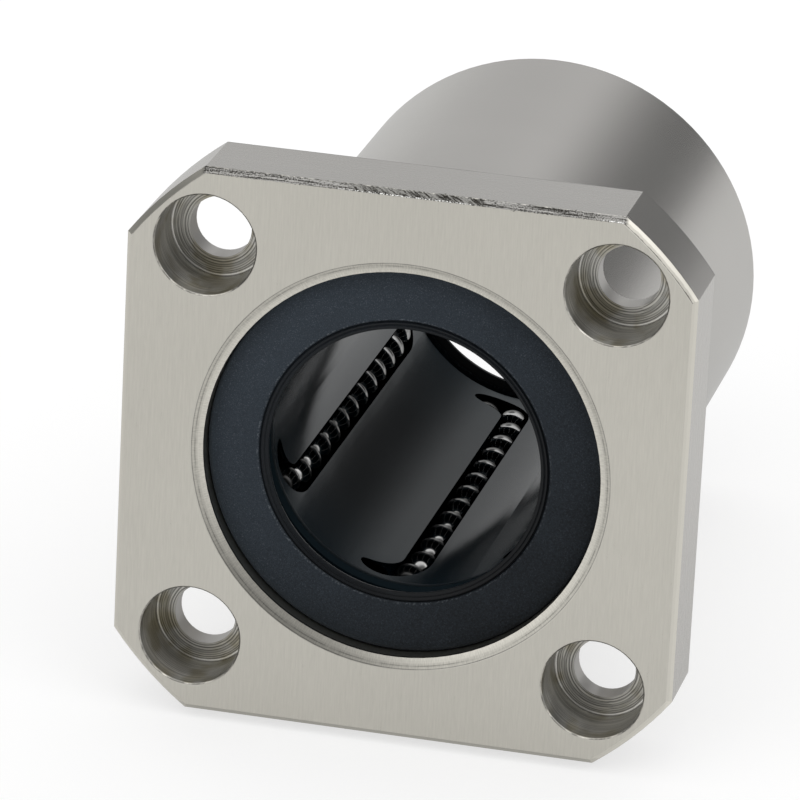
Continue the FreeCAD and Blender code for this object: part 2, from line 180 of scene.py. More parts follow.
class Nodes:
    """Adds nodes to one tree and links them."""

    def __init__(self, tree):
        self.tree = tree
        tree.nodes.clear()

    def add(self, kind, settings=None, sockets=None):
        node = self.tree.nodes.new(kind)
        for name, setting in (settings or {}).items():
            setattr(node, name, setting)
        for key, given in (sockets or {}).items():
            if isinstance(given, Value):
                given = given.socket
            if isinstance(given, bpy.types.NodeSocket):
                self.tree.links.new(given, node.inputs[key])
            else:
                node.inputs[key].default_value = given
        return node

    def value(self, kind, settings=None, sockets=None, output=0):
        return Value(self, self.add(kind, settings, sockets).outputs[output])

    def place(self):
        """The point on the surface, in millimetres."""
        point = self.add("ShaderNodeTexCoord").outputs["Object"]
        return self.stretched(point, (1 / MM, 1 / MM, 1 / MM))

    def stretched(self, vector, scale):
        """A vector or a colour, each of its parts multiplied."""
        return self.add("ShaderNodeVectorMath", {"operation": "MULTIPLY"}, {0: vector, 1: scale}).outputs[0]

    def parts(self, vector):
        split = self.add("ShaderNodeSeparateXYZ", None, {0: vector})
        return [Value(self, socket) for socket in split.outputs]

    def vector(self, x, y, z):
        return self.add("ShaderNodeCombineXYZ", None, {0: x, 1: y, 2: z}).outputs[0]

    def distance(self, x, z):
        """How far a point lies from an axis along the bore."""
        return (x * x + z * z) ** 0.5

    def noise(self, vector, scale=1.0, detail=2.0, roughness=0.5):
        return self.value("ShaderNodeTexNoise", None,
                          {"Vector": vector, "Scale": scale, "Detail": detail, "Roughness": roughness})

    def colour(self, share, first, second):
        """Goes from the first colour to the second as share goes from 0 to 1."""
        first = first if isinstance(first, bpy.types.NodeSocket) else (*first, 1.0)
        second = second if isinstance(second, bpy.types.NodeSocket) else (*second, 1.0)
        return self.add("ShaderNodeMix", {"data_type": "RGBA"}, {0: share, 6: first, 7: second}).outputs[2]

    def either(self, share, first, second):
        """Goes from the first number to the second as share goes from 0 to 1."""
        return first + (second - first) * share

    def shaded(self, colour, level):
        """A colour made lighter or darker by a varying level."""
        return self.stretched(colour, self.vector(level, level, level))


class Look:
    """What one kind of surface shows: its colour, its roughness and its relief in millimetres."""

    def __init__(self, colour, rough, height):
        self.colour = colour
        self.rough = rough
        self.height = height


class Finish(Nodes):
    """One material of the part."""

    def __init__(self, name):
        self.material = bpy.data.materials.new(name)
        self.material.use_nodes = True
        super().__init__(self.material.node_tree)

    def over(self, share, under, upper):
        """One look laid over another, as far as share goes from 0 to 1."""
        return Look(self.colour(share, under.colour, upper.colour),
                    self.either(share, under.rough, upper.rough),
                    self.either(share, under.height, upper.height))

    def surface(self, look, constants):
        """Ends the material in one shader that shows the look."""
        relief = self.add("ShaderNodeBump", None, {"Height": look.height, "Distance": MM, "Strength": 1.0})
        shader = self.add("ShaderNodeBsdfPrincipled", None, {
            "Base Color": look.colour, "Roughness": look.rough, "Normal": relief.outputs[0], **constants})
        self.add("ShaderNodeOutputMaterial", None, {"Surface": shader.outputs[0]})

    def put_on(self, names):
        for name in names:
            for slot in frame["nodes"][name].material_slots:
                slot.material = self.material


class SteelFinish(Finish):
    """Ground and plated steel: straight grain on the face, turned bores and a torn upper front edge."""

    def __init__(self, steel):
        super().__init__("plated_steel_finish")
        self.steel = steel
        self.point = self.place()
        self.x, self.y, self.z = self.parts(self.point)
        self.depth = self.y - FRONT
        self.radius = self.distance(self.x, self.z)
        self.bolt = self.distance(abs(self.x) - BOLT_OFFSET, abs(self.z) - BOLT_OFFSET)
        self.cloud = self.noise(self.stretched(self.point, (0.06, 0.06, 0.05)))

        below = self.depth.rise(0.01, 0.04)
        at_back = self.y.rise(-0.03, -0.01)
        mounting = at_back * self.y.rise(0.04, 0.02)
        mounting = mounting * self.radius.rise(SLEEVE_RADIUS + 0.2, SLEEVE_RADIUS + 0.3)
        look = self.over(1 - below + mounting, self.side(), self.face())

        in_mouth = self.radius.rise(MOUTH_RADIUS + 0.5, MOUTH_RADIUS + 0.4) * below * self.y.rise(0.0, -0.5)
        look = self.over(in_mouth, look, self.mouth())

        exit_rim = BOLT_HOLE + HOLE_EXIT
        past_exit = at_back * self.bolt.rise(exit_rim - 0.02, exit_rim + 0.02)
        in_hole = self.bolt.rise(COUNTERBORE + 0.2, COUNTERBORE + 0.17) * below * (1 - past_exit)
        look = self.over(in_hole, look, self.hole())

        on_edge = self.depth.rise(EDGE_CHAMFER + 0.02, EDGE_CHAMFER - 0.02) * below
        on_edge = on_edge * self.radius.rise(SLEEVE_RADIUS, SLEEVE_RADIUS + 1.0)
        on_edge = on_edge * self.bolt.rise(COUNTERBORE + 0.25, COUNTERBORE + 0.35)
        look = self.over(on_edge, look, self.chamfer())

        reach, torn = self.torn()
        look = self.over(reach, look, torn)
        self.surface(look, {"Metallic": 1.0, "Specular Tint": (0.8, 0.8, 0.79, 1.0)})

    def face(self):
        """Fine straight grain up and down the front and the mounting face."""
        grain = self.noise(self.stretched(self.point, (5.5, 0.0, 0.3)), detail=3.0, roughness=0.6)
        fine = self.noise(self.stretched(self.point, (13.0, 0.0, 0.8)), roughness=0.6)
        streak = grain * 0.6 + fine * 0.4
        level = 1 + (streak - 0.5) * self.steel.grain + (self.cloud - 0.5) * 0.1
        rough = self.steel.roughness + (streak - 0.5) * 0.16
        return Look(self.shaded(self.steel.face_colour, level), rough, streak * self.steel.relief)

    def side(self):
        """Faint lines along the flange's flat sides, painted light on its right side, a dark line of painted
        shade along its back edge, and a smooth sleeve.
        """
        lines = self.noise(self.stretched(self.point, (0.1, 5.0, 0.1)), roughness=0.6)
        corner = self.radius.rise(CORNER_RADIUS - 0.07, CORNER_RADIUS - 0.03)
        flat = self.y.rise(0.1, -0.1) * (1 - corner)
        level = 1 + (lines - 0.5) * self.steel.grain * flat * 0.2 + (self.cloud - 0.5) * 0.08
        # Painted light: the flange's right side is made lighter.
        level = level + self.x.rise(FLANGE_HALF - 0.1, FLANGE_HALF - 0.02) * 0.08
        # Painted shade: a dark line along the flange's back edge, patchy in strength.
        back = self.y.rise(-0.5, -0.38) * self.y.rise(-0.02, -0.04)
        back = back * self.radius.rise(SLEEVE_RADIUS + 0.5, SLEEVE_RADIUS + 1.0)
        patchy_shade = self.noise(self.point, 0.5, detail=3.0, roughness=0.6).rise(0.25, 0.75)
        level = level - back * (0.12 + patchy_shade * 0.24)
        rough = self.steel.roughness - 0.03 + (lines - 0.5) * flat * 0.04
        height = lines * flat * self.steel.relief * 0.08
        return Look(self.shaded(self.steel.side_colour, level), rough, height)

    def mouth(self):
        """Turned bevel of the bore.

        It has a dark outer line, a finely hatched band, a painted highlight along the inner edge and a wall
        that is dark just below the bevel.
        """
        wobble = self.noise(self.point, 0.4)
        rings = self.noise(self.vector(self.radius * 16.0, 0.0, wobble), roughness=0.6)
        angle = self.x.maths("ARCTAN2", self.x, self.z)
        hatch = self.noise(self.vector(angle * 190.0, self.radius * 2.0, 3.0), detail=1.0)
        inward = (MOUTH_RADIUS - self.radius) + (wobble - 0.5) * 0.06
        # Painted highlight: a bright line along the bevel's inner edge.
        painted_highlight_edge = inward.rise(0.4, 0.65)
        outer_line = inward.rise(0.16, 0.06)
        thin_line = inward.rise(0.3, 0.35) * inward.rise(0.43, 0.38) * wobble.rise(0.35, 0.6)
        shade = 0.88 + (rings - 0.5) * 0.5 + (hatch - 0.5) * 0.5
        shade = shade + painted_highlight_edge * 0.22 - outer_line * 0.6 - thin_line * 0.4
        wall = self.depth.rise(MOUTH_DEPTH, MOUTH_DEPTH + 0.04)
        wall_shade = 0.95 - self.depth.rise(MOUTH_DEPTH + 0.3, MOUTH_DEPTH + 0.15) * 0.85
        shade = self.either(wall, shade, wall_shade)
        return Look(self.shaded(self.steel.face_colour, shade), self.steel.roughness + 0.02, rings * 0.008)

    def hole(self):
        """Turned rings by depth on the walls and by radius on the seats.

        Bright arc-shaped painted glints and brown patches lie over them, the rim is painted darker with
        painted glints in patches, and the drilled hole below is plainer.
        """
        along = self.depth - self.bolt
        wobble = self.noise(self.point, 0.3)
        rings = self.noise(self.vector(along * 8.0, 0.0, wobble * 1.5), roughness=0.75)
        patch = self.noise(self.point, 0.35, roughness=0.6).rise(0.45, 0.65)
        colour = self.colour(patch, self.steel.hole_colour, self.steel.oiled_colour)
        seat = self.bolt.rise(COUNTERBORE - 0.04, COUNTERBORE - 0.1)
        contrast = 0.6 + seat * 0.5
        colour = self.shaded(colour, 0.9 - contrast * 0.5 + rings.rise(0.34, 0.66) * contrast)

        # Painted highlights: bright arc-shaped glints over the rings, stronger on the seats and along the
        # seat's outer corner.
        painted_seat_glints = self.noise(self.vector(along * 6.0, 9.0, wobble * 1.5), roughness=0.6).rise(0.58, 0.64)
        painted_seat_glints = painted_seat_glints * self.noise(self.point, 0.28).rise(0.42, 0.6)
        painted_seat_glints = painted_seat_glints * (0.35 + seat * 0.45)
        corner = self.bolt.rise(COUNTERBORE - 0.16, COUNTERBORE - 0.1) * seat
        painted_seat_glints = painted_seat_glints + corner * wobble.rise(0.4, 0.65) * 0.35
        colour = self.colour(painted_seat_glints, colour, self.steel.face_colour)

        # The rim is painted darker, with painted glints in patches.
        rim = self.bolt.rise(COUNTERBORE + 0.01, COUNTERBORE + 0.04)
        painted_rim_glints = self.noise(self.point, 0.7, detail=3.0, roughness=0.6).rise(0.4, 0.65)
        colour = self.colour(rim, colour, self.shaded(self.steel.face_colour, 0.35 + painted_rim_glints * 0.75))

        height = rings * self.bolt.rise(BOLT_HOLE, BOLT_HOLE + 0.3) * 0.01
        height = height + self.bolt.rise(COUNTERBORE - 0.22, COUNTERBORE) * 0.05
        turned = Look(colour, self.steel.roughness + 0.04, height)
        drilled_colour = self.shaded(self.steel.side_colour, 0.7 + wobble * 0.3)
        drilled = Look(drilled_colour, 0.36 + wobble * 0.1, height)
        return self.over(self.bolt.rise(BOLT_HOLE + 0.012, BOLT_HOLE + 0.004), turned, drilled)

    def chamfer(self):
        """Chamfer round the front face. At the upper right, painted shade makes two darker bands and an
        interrupted dark line that stand for a second facet; painted shade darkens it along the bottom, and
        painted light lightens the other corners and the right edge.
        """
        across = self.depth * (1 / EDGE_CHAMFER)
        along = self.vector(self.x * 1.3, 5.0, self.z * 1.3)
        ragged = across + (self.noise(along, detail=4.0, roughness=0.65) - 0.5) * 0.4
        front_band = ragged.rise(0.55, 0.45)
        broken_line = ragged.rise(0.2, 0.1)
        rounded = CORNER_RADIUS - EDGE_CHAMFER
        corner = (self.radius - self.depth).rise(rounded - 0.04, rounded - 0.01)
        # Painted shade at the upper right corner: a darker band and an interrupted dark line stand for a
        # second facet.
        upper_right_corner = corner * (self.x + self.z).rise(FLANGE_HALF, FLANGE_HALF + 1)
        right = self.x.rise(FLANGE_HALF - 0.7, FLANGE_HALF - 0.4)
        bottom = self.z.rise(-FLANGE_HALF + 0.7, -FLANGE_HALF + 0.4)
        # Painted light at the other corners and along the right edge; painted shade along the bottom.
        shade = 1.08 + (corner - upper_right_corner) * 0.15 + right * 0.1 - bottom * 0.18
        shade = shade - front_band * self.either(upper_right_corner, 0.06, 0.3)
        shade = shade - broken_line * self.either(upper_right_corner, 0.02, 0.58)
        return Look(self.shaded(self.steel.face_colour, shade), self.steel.roughness - 0.02, shade * 0.01)

    def torn(self):
        """How far the torn upper edge reaches, and its look.

        Lines run along it, slanting strokes take over in the middle, and painted glints lie as bright specks
        at its foot.
        """
        x = self.x
        across = (self.z - FLANGE_HALF + EDGE_CHAMFER + self.depth) * (0.5 / EDGE_CHAMFER)
        low = (self.noise(self.vector(x * 4.5, 0.0, 3.0), roughness=0.6) - 0.5) * 0.3
        high = 1.05 + (self.noise(self.vector(x * 1.6, 0.0, 17.0), detail=4.0, roughness=0.7) - 0.5) * 0.9
        reach = (across - low).rise(-0.04, 0.04) * (high - across).rise(-0.05, 0.15)
        reach = reach * abs(x).rise(TORN_HALF + 0.2, TORN_HALF - 0.2)
        reach = reach * self.z.rise(FLANGE_HALF - 1.2, FLANGE_HALF - 1.1)

        lines = self.noise(self.vector(x * 0.2, across * 4.6, 0.0), detail=4.0, roughness=0.7)
        slant = self.vector(x * 2.4 + across * 2.4, across * 0.7, 7.0)
        slanting = self.noise(slant, detail=3.0, roughness=0.65)
        place = x + (self.noise(self.vector(x * 0.6, 0.0, 11.0)) - 0.5) * 4.0
        middle = place.rise(-6.5, -4.5) * place.rise(7.0, 5.0)
        strokes = self.either(middle, lines, slanting)
        crumbs = self.noise(self.vector(x * 8.0, across * 5.0, 1.0), roughness=0.6)
        crumbled = self.either(middle, 0.38, 0.25)
        dark = self.either(crumbled, strokes, crumbs).rise(0.56, 0.44)
        colour = self.colour(middle * 0.4 + 0.6, self.steel.side_colour, self.steel.torn_colour)
        colour = self.colour(dark, colour, TORN_HOLLOW)

        # Painted glints: bright specks at the foot of the torn edge.
        painted_torn_glint = (across - low).rise(0.22, 0.1) * crumbs.rise(0.52, 0.58)
        painted_torn_glint = painted_torn_glint * (x.rise(-7.0, -5.5) * x.rise(6.0, 4.5) + x.rise(16.2, 16.6))
        colour = self.colour(painted_torn_glint, colour, TORN_GLINT)
        return reach, Look(colour, self.steel.roughness + 0.1, strokes * 0.035 + crumbs * 0.015)


def torn_finish(steel):
    """Raw metal of the torn slivers: darker in the hollows, lighter on the tips."""
    f = Finish("torn_edge_finish")
    patch = f.noise(f.stretched(f.place(), (3.0, 6.0, 6.0)), roughness=0.6)
    colour = f.colour(patch.rise(0.38, 0.62), SLIVER_HOLLOW, steel.torn_colour)
    f.surface(Look(colour, 0.32 + patch * 0.2, patch * 0.05), {"Metallic": 1.0})
    return f


def seal_finish(seal):
    """Matt moulded rubber, finely grained and speckled, with painted light that makes it lighter towards the
    upper left and darker towards the lower right, and a smoother lip behind a speckled edge.
    """
    f = Finish("seal_rubber_finish")
    point = f.place()
    x, _, z = f.parts(point)
    radius = f.distance(x, z)
    grain = f.noise(point, 5.5, detail=3.0, roughness=0.6)
    speck = f.noise(point, 12.0, detail=1.0)
    cloud = f.noise(point, 0.18)
    lip = radius.rise(LIP_EDGE - 0.01, LIP_EDGE - 0.11)
    edge = radius.rise(LIP_EDGE - 0.13, LIP_EDGE - 0.06) * radius.rise(LIP_EDGE + 0.14, LIP_EDGE + 0.06)
    colour = f.colour(speck.rise(0.56, 0.7), seal.colour, seal.speck_colour)
    colour = f.colour(edge * grain.rise(0.5, 0.62), colour, seal.edge_colour)
    # Painted light: the rubber is made lighter towards the upper left and darker towards the lower right.
    level = 0.65 + cloud * 0.3 + (grain - 0.5) * 0.9 + (z - x) * 0.022
    colour = f.shaded(colour, level * (1 - lip * (1 - edge) * 0.75))
    rough = f.either(lip, seal.roughness + (grain - 0.5) * 0.2, seal.lip_roughness)
    height = (grain * 0.7 + speck * 0.3) * (1 - lip * 0.9) * seal.relief
    f.surface(Look(colour, rough, height), {"IOR": 1.27})
    return f


def cage_finish(cage):
    """Smooth black moulding: slow waves in its gloss, faint drag lines along it and a front rim that is
    duller and darkened by painted shade.
    """
    f = Finish("cage_plastic_finish")
    point = f.place()
    y = f.parts(point)[1]
    wave = f.noise(f.stretched(point, (0.22, 0.10, 0.22)))
    drag = f.noise(f.stretched(point, (3.0, 0.06, 3.0)), roughness=0.6)
    dust = f.noise(point, 7.0, roughness=0.6)
    rim = FRONT + CAGE_RIM
    # Painted shade: the cage's front rim is darkened; it is also made rougher.
    shaded_dull_rim = y.rise(rim + 0.8, rim) * 0.5
    colour = f.colour(dust.rise(0.64, 0.8), cage.colour, cage.dust_colour)
    colour = f.shaded(colour, (0.8 + wave * 0.4) * (1 - shaded_dull_rim))
    rough = cage.roughness + (wave - 0.5) * 0.1 + (drag - 0.5) * 0.06 + shaded_dull_rim
    height = (wave + drag * 0.04) * cage.relief
    f.surface(Look(colour, rough, height), {"IOR": 1.29, "Specular Tint": (0.62, 0.86, 1.0, 1.0)})
    return f


def ball_finish(ball):
    """Polished bearing steel under a thin film of oil; the balls in the turns are darkened by painted shade
    and made rougher.
    """
    f = Finish("ball_steel_finish")
    point = f.place()
    y = f.parts(point)[1]
    film = f.noise(point, 0.9)
    fine = f.noise(point, 6.0, roughness=0.6)
    # Painted shade: balls in the turns are darkened, and made rougher.
    turn_shade = y.rise(LANE_FRONT, LANE_FRONT - 0.7) + y.rise(LANE_REAR, LANE_REAR + 0.6)
    colour = f.shaded(f.colour(film, ball.colour, ball.film_colour), 0.85 + fine * 0.3)
    colour = f.colour(turn_shade, colour, ball.turn_shade_colour)
    rough = ball.roughness + film * 0.05 + turn_shade * 0.14
    look = Look(colour, rough, fine * 0.0004)
    f.surface(look, {"Metallic": 1.0, "Specular Tint": (0.3, 0.3, 0.3, 1.0)})
    return f


def ring_finish(ring):
    """Blued spring steel with drawn lines round the ring."""
    f = Finish("spring_steel_finish")
    x, y, z = f.parts(f.place())
    radius = f.distance(x, z)
    drawn = f.noise(f.vector(radius * 6.0, y * 6.0, 0.0), detail=3.0, roughness=0.6)
    colour = f.shaded(ring.colour, 0.7 + drawn * 0.6)
    f.surface(Look(colour, ring.roughness + (drawn - 0.5) * 0.2, drawn * 0.004), {"Metallic": 1.0})
    return f


def colour_setting(name, description, default):
    return FloatVectorProperty(name=name, description=description, subtype="COLOR", size=3, default=default)


def share_setting(name, description, default):
    return FloatProperty(name=name, description=description, subtype="FACTOR", default=default,
                         min=0.0, max=1.0)


def length_setting(name, description, default):
    return FloatProperty(name=name, description=description, unit="LENGTH", default=default, min=0.0)


def amount_setting(name, description, default):
    return FloatProperty(name=name, description=description, default=default, min=0.0)


class SteelSettings(bpy.types.PropertyGroup):
    face_colour: colour_setting("Face colour", "Plating on the ground front face", (0.62, 0.60, 0.54))
    side_colour: colour_setting("Side colour", "Plating on the edges and the sleeve", (0.62, 0.605, 0.585))
    hole_colour: colour_setting("Hole colour", "Turned walls and seats of the counterbores",
                                (0.49, 0.48, 0.45))
    oiled_colour: colour_setting("Oiled colour", "Brown oily patches in the counterbores",
                                 (0.36, 0.335, 0.265))
    torn_colour: colour_setting("Torn colour", "Metal between the strokes of the torn edge",
                                (0.27, 0.265, 0.25))
    roughness: share_setting("Roughness", "How satin the ground steel is", 0.30)
    grain: share_setting("Grain", "How far the grain changes the colour", 0.34)
    relief: amount_setting("Relief", "Depth of the grain in millimetres", 0.005)


class TornEdgeSettings(bpy.types.PropertyGroup):
    length: length_setting("Length", "How far the torn edge runs along the top", 0.0366)
    width: length_setting("Width", "Width of the torn band", 0.00075)
    density: amount_setting("Slivers per square metre", "How thickly the slivers stand", 9e6)
    sliver: length_setting("Sliver length", "Half length of the longest sliver", 0.00024)
    seed: IntProperty(name="Seed", description="Picks another scatter of slivers", default=7)


class SealSettings(bpy.types.PropertyGroup):
    colour: colour_setting("Colour", "Moulded rubber", (0.033, 0.043, 0.055))
    speck_colour: colour_setting("Speck colour", "Lighter specks in the rubber", (0.072, 0.084, 0.102))
    edge_colour: colour_setting("Edge colour", "Pale crumbs along the lip's outer edge", (0.10, 0.115, 0.13))
    lip_radius: length_setting("Lip radius", "Radius of the free lip", 0.01205)
    front_reach: length_setting("Front lip depth", "Front lip behind the seal's face", 0.00028)
    rear_reach: length_setting("Rear lip depth", "Rear lip behind the seal's face", 0.00098)
    roughness: share_setting("Roughness", "How matt the rubber is", 0.55)
    lip_roughness: share_setting("Lip roughness", "How matt the lip is", 0.32)
    relief: amount_setting("Relief", "Depth of the moulded grain in millimetres", 0.055)


class CageSettings(bpy.types.PropertyGroup):
    colour: colour_setting("Colour", "Moulded plastic", (0.002, 0.009, 0.0145))
    dust_colour: colour_setting("Dust colour", "Specks of dust on the plastic", (0.028, 0.031, 0.034))
    roughness: share_setting("Roughness", "How soft its gloss is", 0.16)
    relief: amount_setting("Relief", "Depth of its waves in millimetres", 0.03)


class BallSettings(bpy.types.PropertyGroup):
    colour: colour_setting("Colour", "Polished bearing steel", (0.42, 0.42, 0.415))
    film_colour: colour_setting("Oil film colour", "Steel under the thicker oil", (0.31, 0.31, 0.305))
    # Painted shade on the balls in the turns.
    turn_shade_colour: colour_setting("Grease colour", "Greased balls in the turns", (0.003, 0.003, 0.003))
    roughness: share_setting("Roughness", "How polished the balls are", 0.07)


class RingSettings(bpy.types.PropertyGroup):
    colour: colour_setting("Colour", "Spring steel", (0.22, 0.22, 0.225))
    roughness: share_setting("Roughness", "How satin the rings are", 0.35)


class StageSettings(bpy.types.PropertyGroup):
    floor_colour: colour_setting("Floor colour", "Pale paper under the part", (0.40, 0.40, 0.40))
    floor_glow: amount_setting("Floor glow", "What the paper adds of its own to show white", 0.62)
    mirrored_glow: amount_setting("Mirrored glow", "What the paper adds in reflections", 0.42)
    sky: amount_setting("Sky", "Level of the soft light all round", 0.66)
    overhead: amount_setting("Overhead", "What the softbox above adds", 0.65)
    side_light: amount_setting("Side light", "What the softbox at upper right adds", 0.55)
    fill: amount_setting("Fill", "What the soft light at front left adds", 0.3)


class BearingSettings(bpy.types.PropertyGroup):
    steel: PointerProperty(type=SteelSettings, name="Steel", description="Flanged sleeve")
    torn_edge: PointerProperty(type=TornEdgeSettings, name="Torn edge",
                               description="Upper front edge of the flange")
    seal: PointerProperty(type=SealSettings, name="Seals", description="End seals")
    cage: PointerProperty(type=CageSettings, name="Cage", description="Ball retainer")
    ball: PointerProperty(type=BallSettings, name="Balls", description="Bearing balls")
    ring: PointerProperty(type=RingSettings, name="Rings", description="Retaining rings")
    stage: PointerProperty(type=StageSettings, name="Stage", description="Floor, light and camera")


class BEARING_OT_sleeve(bpy.types.Operator):
    """Gives the flanged sleeve its ground and plated finish"""
    bl_idname = "bearing.sleeve"
    bl_label = "Flanged sleeve"

    def execute(self, context):
        SteelFinish(context.scene.bearing.steel).put_on(["flanged_sleeve"])
        return {"FINISHED"}


class BEARING_OT_torn_edge(bpy.types.Operator):
    """Scatters small slivers of metal over the torn chamfer of the flange's upper front edge"""
    bl_idname = "bearing.torn_edge"
    bl_label = "Torn upper edge"

    def execute(self, context):
        settings = context.scene.bearing.torn_edge
        tree, sockets = torn_edge_tree()
        piece = bpy.data.objects.new("top_edge_slivers", bpy.data.meshes.new("top_edge_slivers"))
        context.scene.collection.objects.link(piece)
        modifier = piece.modifiers.new("torn_edge", "NODES")
        modifier.node_group = tree
        modifier[sockets["Length"]] = settings.length
        modifier[sockets["Width"]] = settings.width
        modifier[sockets["Density"]] = settings.density
        modifier[sockets["Sliver"]] = settings.sliver
        modifier[sockets["Seed"]] = settings.seed
        modifier[sockets["Finish"]] = torn_finish(context.scene.bearing.steel).material
        context.view_layer.update()
        made = bpy.data.meshes.new_from_object(piece.evaluated_get(context.evaluated_depsgraph_get()))
        if not made.polygons:
            raise RuntimeError("the torn edge came out empty")
        piece.modifiers.remove(modifier)
        piece.data = made
        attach(piece, "housing")
        return {"FINISHED"}


def torn_edge_tree():
    """Slivers lying along the chamfer, thicker where a noise says so."""
    tree = bpy.data.node_groups.new("torn_edge", "GeometryNodeTree")
    tree.interface.new_socket(name="Geometry", in_out="OUTPUT", socket_type="NodeSocketGeometry")
    inputs = {"Length": "NodeSocketFloat", "Width": "NodeSocketFloat", "Density": "NodeSocketFloat",
              "Sliver": "NodeSocketFloat", "Seed": "NodeSocketInt", "Finish": "NodeSocketMaterial"}
    sockets = {}
    for name, kind in inputs.items():
        sockets[name] = tree.interface.new_socket(name=name, in_out="INPUT", socket_type=kind).identifier
    n = Nodes(tree)
    given = n.add("NodeGroupInput").outputs
    band = n.add("GeometryNodeMeshGrid", None, {
        "Size X": given["Length"], "Size Y": given["Width"], "Vertices X": 2, "Vertices Y": 2})
    here = n.add("GeometryNodeInputPosition").outputs[0]
    clumps = n.noise(here, CLUMP_SCALE, roughness=0.6).rise(0.42, 0.62)
    points = n.add("GeometryNodeDistributePointsOnFaces", None, {
        "Mesh": band.outputs[0], "Density": clumps * Value(n, given["Density"]), "Seed": given["Seed"]})
    sliver = n.add("GeometryNodeMeshIcoSphere", None, {"Radius": 1.0, "Subdivisions": 1})
    longest = Value(n, given["Sliver"])
    sizes = []
    for seed, (least, most) in enumerate(SLIVER_SHARES, start=1):
        share = n.value("FunctionNodeRandomValue", {"data_type": "FLOAT"},
                        {2: least, 3: most, "Seed": seed}, 1)
        sizes.append(share * longest)
    turn = n.value("FunctionNodeRandomValue", {"data_type": "FLOAT_VECTOR"},
                   {0: SLIVER_TURNS[0], 1: SLIVER_TURNS[1], "Seed": 4})
    scattered = n.add("GeometryNodeInstanceOnPoints", None, {
        "Points": points.outputs[0], "Instance": sliver.outputs[0],
        "Rotation": turn, "Scale": n.vector(*sizes)})
    whole = n.add("GeometryNodeRealizeInstances", None, {0: scattered.outputs[0]})
    middle = EDGE_CHAMFER / 2
    placed = n.add("GeometryNodeTransform", None, {
        "Geometry": whole.outputs[0], "Rotation": (math.radians(45), 0.0, 0.0),
        "Translation": (0.0, (FRONT + middle) * MM, (FLANGE_HALF - middle) * MM)})
    dressed = n.add("GeometryNodeSetMaterial", None, {
        "Geometry": placed.outputs[0], "Material": given["Finish"]})
    n.add("NodeGroupOutput", None, {0: dressed.outputs[0]})
    return tree, sockets


class BEARING_OT_cage(bpy.types.Operator):
    """Gives the ball retainer its smooth black moulded finish"""
    bl_idname = "bearing.cage"
    bl_label = "Ball retainer"

    def execute(self, context):
        cage_finish(context.scene.bearing.cage).put_on(["ball_retainer"])
        return {"FINISHED"}


class BEARING_OT_seals(bpy.types.Operator):
    """Makes both end seals in matt grained rubber, their lips as they stand before a shaft spreads them"""
    bl_idname = "bearing.seals"
    bl_label = "End seals"

    def execute(self, context):
        settings = context.scene.bearing.seal
        material = seal_finish(settings).material
        for node, name in (("front_seal", "front_lip_seal"), ("rear_seal", "rear_lip_seal")):
            low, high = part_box(node)
            face, inward = (low.y, 1) if node == "front_seal" else (high.y, -1)
            reach = settings.front_reach if node == "front_seal" else settings.rear_reach
            section = seal_section(high.x / MM, (high.y - low.y) / MM, settings.lip_radius / MM, reach / MM)
            piece = turned_ring(name, [(r * MM, face + inward * depth * MM) for r, depth in section])
            context.scene.collection.objects.link(piece)
            piece.data.materials.append(material)
            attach(piece, "housing")
            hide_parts(node)
        return {"FINISHED"}


def seal_section(outer, back, lip, reach):
    """Closed outline of the seal as (radius, depth behind its face)."""
    lean = (reach - LIP_DEPTH) / (LIP_EDGE - lip)
    # Each corner is a radius, a depth and its rounding, from the outer rim over the back to the lip and face.
    corners = [
        (outer, 0.35, 0.4),
        (outer, back, 0.08),
        (13.9, back, 0.15),
        (13.0, reach + 0.45, 0.15),
        (lip + 0.04, reach + 0.3, 0.06),
        (lip, reach, 0.07),
        *((r, depth + lean * (LIP_EDGE - r), 0.04) for r, depth in LIP_RIDGES),
        (LIP_EDGE, 0.0, 0.08),
        (15.2, 0.0, 1.5),
    ]
    outline = []
    for i, (r, depth, rounding) in enumerate(corners):
        here = Vector((r, depth))
        before = (Vector(corners[i - 1][:2]) - here).normalized()
        after = (Vector(corners[(i + 1) % len(corners)][:2]) - here).normalized()
        first = here + before * rounding
        last = here + after * rounding
        for step in range(ROUNDING_STEPS + 1):
            t = step / ROUNDING_STEPS
            outline.append(first * (1 - t) ** 2 + here * 2 * t * (1 - t) + last * t ** 2)
    return [tuple(point) for point in outline]


def turned_ring(name, section):
    """A closed section turned about the bore's axis."""
    shape = bmesh.new()
    rings = []
    for i in range(SEAL_STEPS):
        turn = 2 * math.pi * i / SEAL_STEPS
        rings.append([shape.verts.new((r * math.cos(turn), y, r * math.sin(turn))) for r, y in section])
    count = len(section)
    for i, here in enumerate(rings):
        following = rings[(i + 1) % SEAL_STEPS]
        for k in range(count):
            after = (k + 1) % count
            face = shape.faces.new((here[k], here[after], following[after], following[k]))
            face.smooth = True
    bmesh.ops.recalc_face_normals(shape, faces=shape.faces)
    mesh = bpy.data.meshes.new(name)
    shape.to_mesh(mesh)
    shape.free()
    return bpy.data.objects.new(name, mesh)


class BEARING_OT_balls(bpy.types.Operator):
    """Gives every row and turn of balls its polished steel"""
    bl_idname = "bearing.balls"
    bl_label = "Bearing balls"

    def execute(self, context):
        balls = [name for name in frame["nodes"] if "_balls_" in name]
        ball_finish(context.scene.bearing.ball).put_on(balls)
        return {"FINISHED"}


class BEARING_OT_rings(bpy.types.Operator):
    """Gives both retaining rings their spring steel"""
    bl_idname = "bearing.rings"
    bl_label = "Retaining rings"

    def execute(self, context):
        ring_finish(context.scene.bearing.ring).put_on(["front_retaining_ring", "rear_retaining_ring"])
        return {"FINISHED"}


class BEARING_OT_stage(bpy.types.Operator):
    """Sets the pale floor under the part, the soft light round it and the camera"""
    bl_idname = "bearing.stage"
    bl_label = "Stage"

    def execute(self, context):
        settings = context.scene.bearing.stage
        context.scene.view_settings.view_transform = "Standard"
        lay_floor(context.scene, settings)
        light_room(context.scene, settings)
        set_camera(context.scene)
        return {"FINISHED"}


